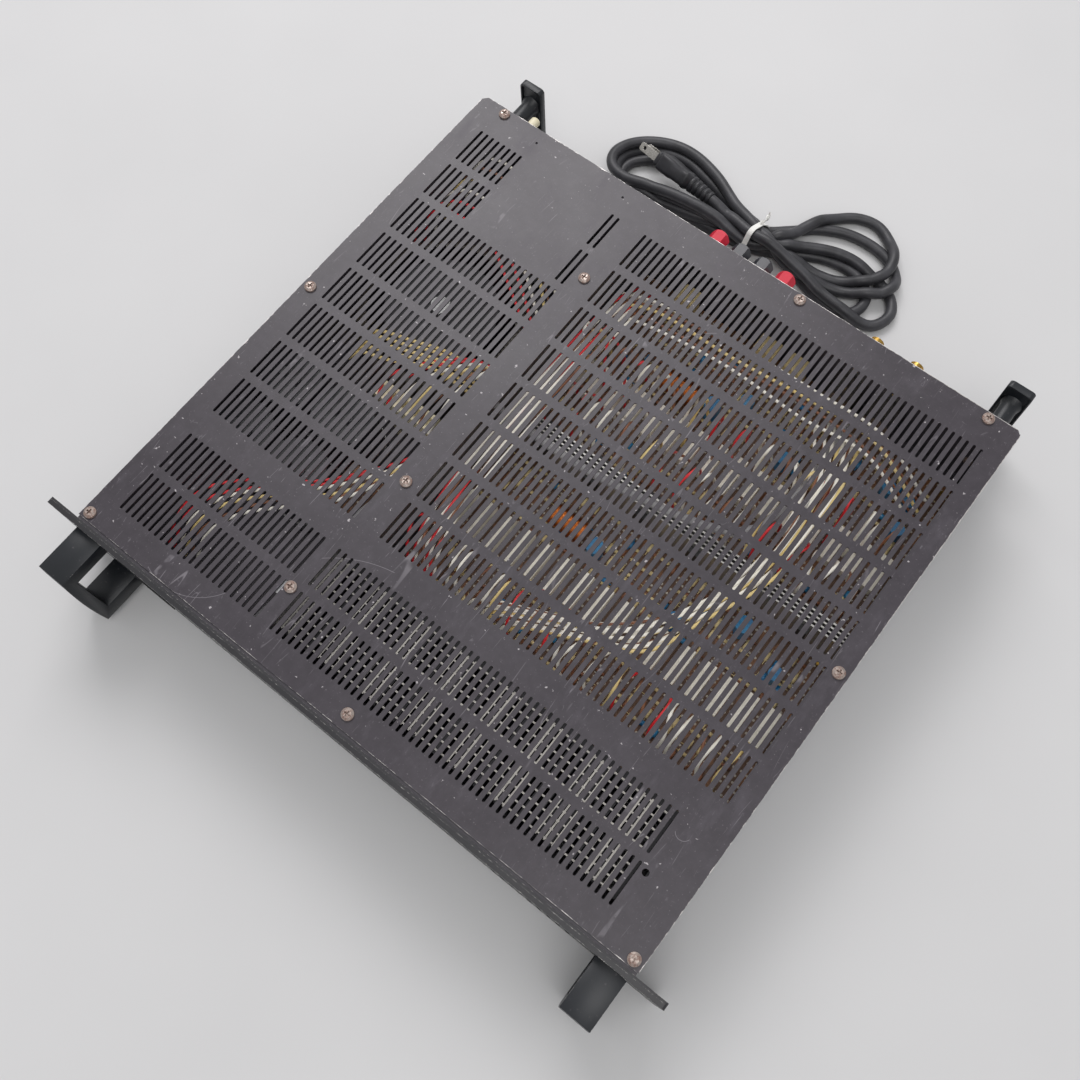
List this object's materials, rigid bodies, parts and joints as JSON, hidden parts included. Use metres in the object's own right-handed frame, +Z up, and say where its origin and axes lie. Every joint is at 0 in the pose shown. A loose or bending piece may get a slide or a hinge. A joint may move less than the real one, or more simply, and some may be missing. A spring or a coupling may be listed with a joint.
{
  "type": "power amplifier",
  "caption": "Low two-unit rack power amplifier with a slotted cover, front handles, rear stands, binding posts and a tied mains lead.",
  "frame": {"origin": "floor level, at the centre of the amplifier's box without its mains lead", "axes": "+Z up, from the feet to the cover; the front panel faces -Y; +X to the right seen from the front"},
  "size_m": [0.4826, 0.5926, 0.0924],
  "materials": {
    "panel_paint": "satin",
    "chassis_paint": "satin",
    "cover_paint": "satin",
    "handle_paint": "satin",
    "nickel": "satin",
    "bare_sheet": "satin",
    "rubber_black": "matte",
    "winding": "matte",
    "can_sleeve": "satin",
    "black_plastic": "satin",
    "red_plastic": "gloss",
    "grey_cap": "gloss",
    "cream_plastic": "satin",
    "white_nylon": "satin",
    "black_anodised": "satin",
    "plain_aluminium": "satin",
    "board": "satin",
    "ceramic_white": "matte",
    "brass": "satin",
    "copper_enamel": "satin",
    "blue_sleeve": "satin",
    "grey_lead": "satin",
    "die_cast": "satin"
  },
  "bodies": {
    "chassis": {"front_panel": "panel_paint", "sub_panel": "panel_paint", "chassis_tray": "chassis_paint", "rear_panel": "chassis_paint", "top_cover": "cover_paint", "cover_screws": "nickel", "bay_divider": "bare_sheet", "handle_left": "handle_paint", "handle_right": "handle_paint", "rear_stand_left": "handle_paint", "rear_stand_right": "handle_paint", "chassis_screws": "nickel", "feet": "rubber_black", "transformer_winding": "winding", "transformer_clamp": "bare_sheet", "transformer_bolt": "nickel", "filter_capacitors": "can_sleeve", "capacitor_clamps": "bare_sheet", "bridge_rectifier": "black_plastic", "supply_board": "board", "terminal_block": "cream_plastic", "relays": "cream_plastic", "front_heatsink": "black_anodised", "intake_mesh": "bare_sheet", "output_transistors": "black_plastic", "centre_heatsink": "plain_aluminium", "channel_board_front": "board", "channel_board_rear": "board", "board_spacers": "brass", "emitter_resistors": "ceramic_white", "driver_transistors": "black_plastic", "board_capacitors": "blue_sleeve", "output_coils": "copper_enamel", "wiring_loom": "grey_lead", "power_switch": "black_plastic", "level_pots": "die_cast", "indicator_lamps": "red_plastic", "post_bases": "black_plastic", "breaker_body": "black_plastic", "input_plate": "chassis_paint", "input_sockets": "die_cast", "cord_gland": "rubber_black", "cord_run": "rubber_black", "cord_hank": "rubber_black", "mains_plug": "black_plastic", "cord_tie": "white_nylon"},
    "rocker": {"power_rocker": "red_plastic"},
    "level_left": {"level_shaft_left": "nickel"},
    "level_right": {"level_shaft_right": "nickel"},
    "post_1_slider": {"post_insert_1": "brass"},
    "post_1_cap": {"post_cap_1": "red_plastic"},
    "post_2_slider": {"post_insert_2": "brass"},
    "post_2_cap": {"post_cap_2": "grey_cap"},
    "post_3_slider": {"post_insert_3": "brass"},
    "post_3_cap": {"post_cap_3": "grey_cap"},
    "post_4_slider": {"post_insert_4": "brass"},
    "post_4_cap": {"post_cap_4": "red_plastic"},
    "breaker_reset": {"breaker_button": "cream_plastic"},
    "thumb_left": {"thumbscrew_left": "brass"},
    "thumb_right": {"thumbscrew_right": "brass"}
  },
  "joints": [
    {"name": "rocker_tilt", "type": "hinge", "parent": "chassis", "child": "rocker", "pos_m": [-0.165, -0.1992, 0.04695], "axis": [1, 0, 0], "range_deg": [0, 16]},
    {"name": "level_left_turn", "type": "hinge", "parent": "chassis", "child": "level_left", "pos_m": [-0.12, -0.2078, 0.04695], "axis": [0, 1, 0], "range_deg": [-150, 150]},
    {"name": "level_right_turn", "type": "hinge", "parent": "chassis", "child": "level_right", "pos_m": [-0.084, -0.2078, 0.04695], "axis": [0, 1, 0], "range_deg": [-150, 150]},
    {"name": "post_1_travel", "type": "slide", "parent": "chassis", "child": "post_1_slider", "axis": [0, 1, 0], "range_m": [0, 0.005]},
    {"name": "post_1_turn", "type": "hinge", "parent": "post_1_slider", "child": "post_1_cap", "pos_m": [-0.02857, 0.2243, 0.0475], "axis": [0, 1, 0], "range_deg": [0, 2520]},
    {"name": "post_2_travel", "type": "slide", "parent": "chassis", "child": "post_2_slider", "axis": [0, 1, 0], "range_m": [0, 0.005]},
    {"name": "post_2_turn", "type": "hinge", "parent": "post_2_slider", "child": "post_2_cap", "pos_m": [-0.00953, 0.2243, 0.0475], "axis": [0, 1, 0], "range_deg": [0, 2520]},
    {"name": "post_3_travel", "type": "slide", "parent": "chassis", "child": "post_3_slider", "axis": [0, 1, 0], "range_m": [0, 0.005]},
    {"name": "post_3_turn", "type": "hinge", "parent": "post_3_slider", "child": "post_3_cap", "pos_m": [0.00953, 0.2243, 0.0475], "axis": [0, 1, 0], "range_deg": [0, 2520]},
    {"name": "post_4_travel", "type": "slide", "parent": "chassis", "child": "post_4_slider", "axis": [0, 1, 0], "range_m": [0, 0.005]},
    {"name": "post_4_turn", "type": "hinge", "parent": "post_4_slider", "child": "post_4_cap", "pos_m": [0.02857, 0.2243, 0.0475], "axis": [0, 1, 0], "range_deg": [0, 2520]},
    {"name": "breaker_press", "type": "slide", "parent": "chassis", "child": "breaker_reset", "axis": [0, -1, 0], "range_m": [0, 0.003]},
    {"name": "thumb_left_turn", "type": "hinge", "parent": "chassis", "child": "thumb_left", "pos_m": [0.1084, 0.2143, 0.06], "axis": [0, 1, 0], "continuous": true},
    {"name": "thumb_right_turn", "type": "hinge", "parent": "chassis", "child": "thumb_right", "pos_m": [0.1396, 0.2143, 0.06], "axis": [0, 1, 0], "continuous": true}
  ],
  "couplings": [
    {"joint": "post_1_travel", "follows": "post_1_turn", "m_per_rad": 0.00011141},
    {"joint": "post_2_travel", "follows": "post_2_turn", "m_per_rad": 0.00011141},
    {"joint": "post_3_travel", "follows": "post_3_turn", "m_per_rad": 0.00011141},
    {"joint": "post_4_travel", "follows": "post_4_turn", "m_per_rad": 0.00011141}
  ]
}
